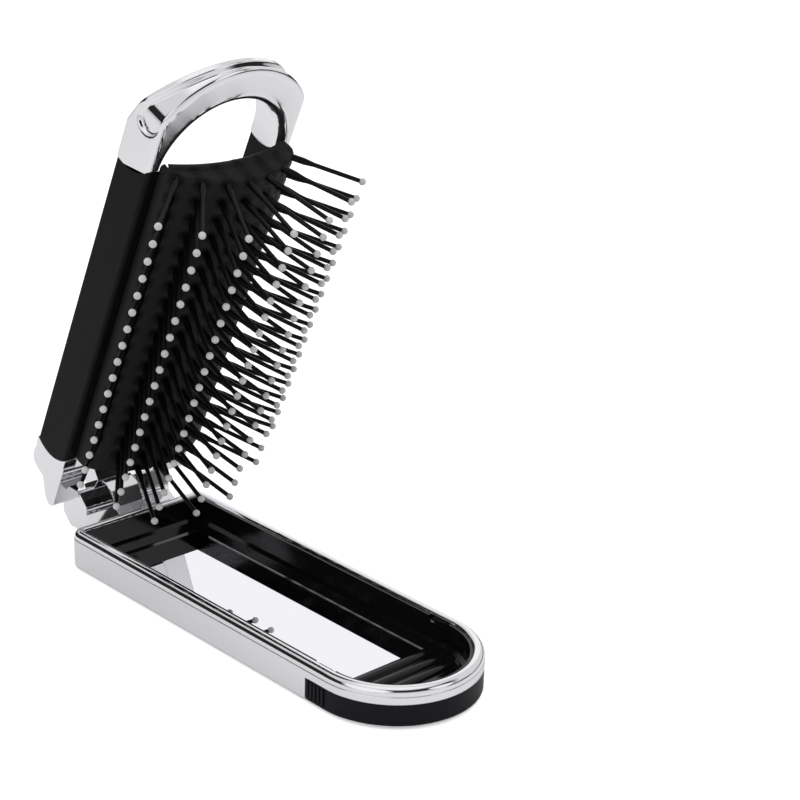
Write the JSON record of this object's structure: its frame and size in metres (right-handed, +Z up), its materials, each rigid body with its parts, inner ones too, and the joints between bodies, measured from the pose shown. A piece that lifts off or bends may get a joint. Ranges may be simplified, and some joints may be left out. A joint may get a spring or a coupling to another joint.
{
  "type": "folding hairbrush with mirror",
  "caption": "Pocket hairbrush that folds into a chrome mirror case, with a fold-flat bristle pad, an open loop end and two press-in latch buttons.",
  "frame": {"origin": "middle of the case's flat outer face, on which the case rests", "axes": "+X from the hinge towards the tip of the case, +Y to the right button side, +Z up from the outer face towards the mirror opening"},
  "size_m": [0.138, 0.062, 0.1363],
  "materials": {
    "case_shell": "mirror-polished chrome plating on moulded plastic",
    "outer_plate": "mirror-polished chrome",
    "rim_bezel": "mirror-polished chrome plating on moulded plastic",
    "inner_liner": "gloss black",
    "mirror": "silvered glass",
    "latch_band": "satin black",
    "case_knuckles": "polished chrome",
    "button_pin_left": "bright steel wire",
    "button_pin_right": "bright steel wire",
    "button_left": "satin black with moulded ribs",
    "button_right": "satin black with moulded ribs",
    "hinge_pin": "bright steel",
    "hinge_bracket": "polished chrome",
    "rail_left": "soft-touch matte black",
    "rail_right": "soft-touch matte black",
    "top_loop": "mirror-polished chrome plating on moulded plastic",
    "pad_web": "matte black rubber",
    "bristle_row_1": "satin black",
    "bristle_row_2": "satin black",
    "bristle_row_3": "satin black",
    "bristle_row_4": "satin black",
    "bristle_row_5": "satin black",
    "bristle_row_6": "satin black",
    "bristle_row_7": "satin black",
    "ball_tips_1": "satin light grey",
    "ball_tips_2": "satin light grey",
    "ball_tips_3": "satin light grey",
    "ball_tips_4": "satin light grey",
    "ball_tips_5": "satin light grey",
    "ball_tips_6": "satin light grey",
    "ball_tips_7": "satin light grey"
  },
  "bodies": {
    "case": {"case_shell": "case_shell", "outer_plate": "outer_plate", "rim_bezel": "rim_bezel", "inner_liner": "inner_liner", "mirror": "mirror", "latch_band": "latch_band", "case_knuckles": "case_knuckles", "button_pin_left": "button_pin_left", "button_pin_right": "button_pin_right"},
    "latch_left": {"button_left": "button_left"},
    "latch_right": {"button_right": "button_right"},
    "pin": {"hinge_pin": "hinge_pin"},
    "brush_frame": {"hinge_bracket": "hinge_bracket", "rail_left": "rail_left", "rail_right": "rail_right", "top_loop": "top_loop", "pad_web": "pad_web"},
    "row_1": {"bristle_row_1": "bristle_row_1", "ball_tips_1": "ball_tips_1"},
    "row_2": {"bristle_row_2": "bristle_row_2", "ball_tips_2": "ball_tips_2"},
    "row_3": {"bristle_row_3": "bristle_row_3", "ball_tips_3": "ball_tips_3"},
    "row_4": {"bristle_row_4": "bristle_row_4", "ball_tips_4": "ball_tips_4"},
    "row_5": {"bristle_row_5": "bristle_row_5", "ball_tips_5": "ball_tips_5"},
    "row_6": {"bristle_row_6": "bristle_row_6", "ball_tips_6": "ball_tips_6"},
    "row_7": {"bristle_row_7": "bristle_row_7", "ball_tips_7": "ball_tips_7"}
  },
  "joints": [
    {"name": "pad_fold", "type": "hinge", "parent": "pin", "child": "case", "pos_m": [-0.0684, 0, 0.0108], "axis": [0, 1, 0], "range_deg": [-66, 0]},
    {"name": "brush_swing", "type": "hinge", "parent": "pin", "child": "brush_frame", "pos_m": [-0.0684, 0, 0.0108], "axis": [0, -1, 0], "range_deg": [0, 114]},
    {"name": "latch_left_press", "type": "hinge", "parent": "case", "child": "latch_left", "pos_m": [0.0357, -0.0191, 0.0073], "axis": [1, 0, 0], "range_deg": [0, 12], "stiffness_Nm_per_rad": 0.05},
    {"name": "latch_right_press", "type": "hinge", "parent": "case", "child": "latch_right", "pos_m": [0.0357, 0.0191, 0.0073], "axis": [-1, 0, 0], "range_deg": [0, 12], "stiffness_Nm_per_rad": 0.05},
    {"name": "row_1_fold", "type": "hinge", "parent": "brush_frame", "child": "row_1", "pos_m": [-0.04905, -0.02972, 0.06786], "axis": [-0.4067, 0, -0.9135], "range_deg": [-57.7, 0]},
    {"name": "row_2_fold", "type": "hinge", "parent": "brush_frame", "child": "row_2", "pos_m": [-0.04681, -0.03583, 0.06687], "axis": [-0.4067, 0, -0.9135], "range_deg": [-42.2, 0]},
    {"name": "row_3_fold", "type": "hinge", "parent": "brush_frame", "child": "row_3", "pos_m": [-0.04583, -0.05941, 0.06643], "axis": [-0.4067, 0, -0.9135], "range_deg": [-22.3, 0]},
    {"name": "row_4_fold", "type": "slide", "parent": "brush_frame", "child": "row_4", "axis": [0.9135, 0, -0.4067], "range_m": [-0.0219, 0], "deforming": ["pad_web"]},
    {"name": "row_5_fold", "type": "hinge", "parent": "brush_frame", "child": "row_5", "pos_m": [-0.04583, 0.05941, 0.06643], "axis": [0.4067, 0, 0.9135], "range_deg": [-22.3, 0]},
    {"name": "row_6_fold", "type": "hinge", "parent": "brush_frame", "child": "row_6", "pos_m": [-0.04681, 0.03583, 0.06687], "axis": [0.4067, 0, 0.9135], "range_deg": [-42.2, 0]},
    {"name": "row_7_fold", "type": "hinge", "parent": "brush_frame", "child": "row_7", "pos_m": [-0.04905, 0.02972, 0.06786], "axis": [0.4067, 0, 0.9135], "range_deg": [-57.7, 0]}
  ],
  "couplings": [
    {"joint": "row_1_fold", "follows": "pad_fold", "ratio": 0.87424},
    {"joint": "row_2_fold", "follows": "pad_fold", "ratio": 0.63939},
    {"joint": "row_3_fold", "follows": "pad_fold", "ratio": 0.33788},
    {"joint": "row_4_fold", "follows": "pad_fold", "m_per_rad": 0.019012},
    {"joint": "row_5_fold", "follows": "pad_fold", "ratio": 0.33788},
    {"joint": "row_6_fold", "follows": "pad_fold", "ratio": 0.63939},
    {"joint": "row_7_fold", "follows": "pad_fold", "ratio": 0.87424}
  ]
}
